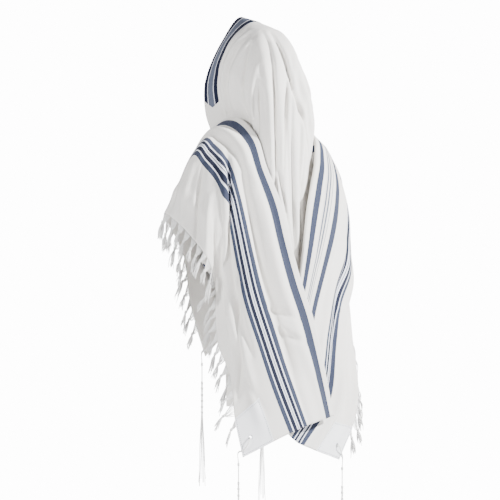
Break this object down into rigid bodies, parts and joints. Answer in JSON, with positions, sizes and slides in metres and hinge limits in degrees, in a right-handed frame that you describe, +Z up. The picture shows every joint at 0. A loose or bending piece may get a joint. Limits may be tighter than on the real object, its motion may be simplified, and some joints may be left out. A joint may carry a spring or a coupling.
{
  "type": "worn tallit prayer shawl",
  "caption": "White wool tallit prayer shawl with blue stripes, worn over the head and both shoulders, with neckband, corner patches, fringe and tzitzit.",
  "frame": {"origin": "inside of the hood at the wearer's crown", "axes": "+Z up, the wearer faces -Y, the wearer's left is +X"},
  "size_m": [0.6141, 0.3908, 1.5382],
  "materials": {
    "woven_wool": "fine white wool twill with woven blue stripes",
    "woven_band": "woven blue and white neckband",
    "patch_cloth": "plain white reinforcing cloth",
    "twisted_thread": "twisted white wool thread"
  },
  "bodies": {
    "root": {"cloth_hood_back": "woven_wool", "cloth_left_drape": "woven_wool", "cloth_right_drape": "woven_wool", "atarah": "woven_band", "patch_left_front": "patch_cloth", "patch_left_back": "patch_cloth", "patch_right_front": "patch_cloth", "patch_right_back": "patch_cloth", "fringe_left": "twisted_thread", "fringe_right": "twisted_thread", "tzitzit_left_front": "twisted_thread", "tzitzit_left_back": "twisted_thread", "tzitzit_right_front": "twisted_thread", "tzitzit_right_back": "twisted_thread"}
  },
  "joints": []
}
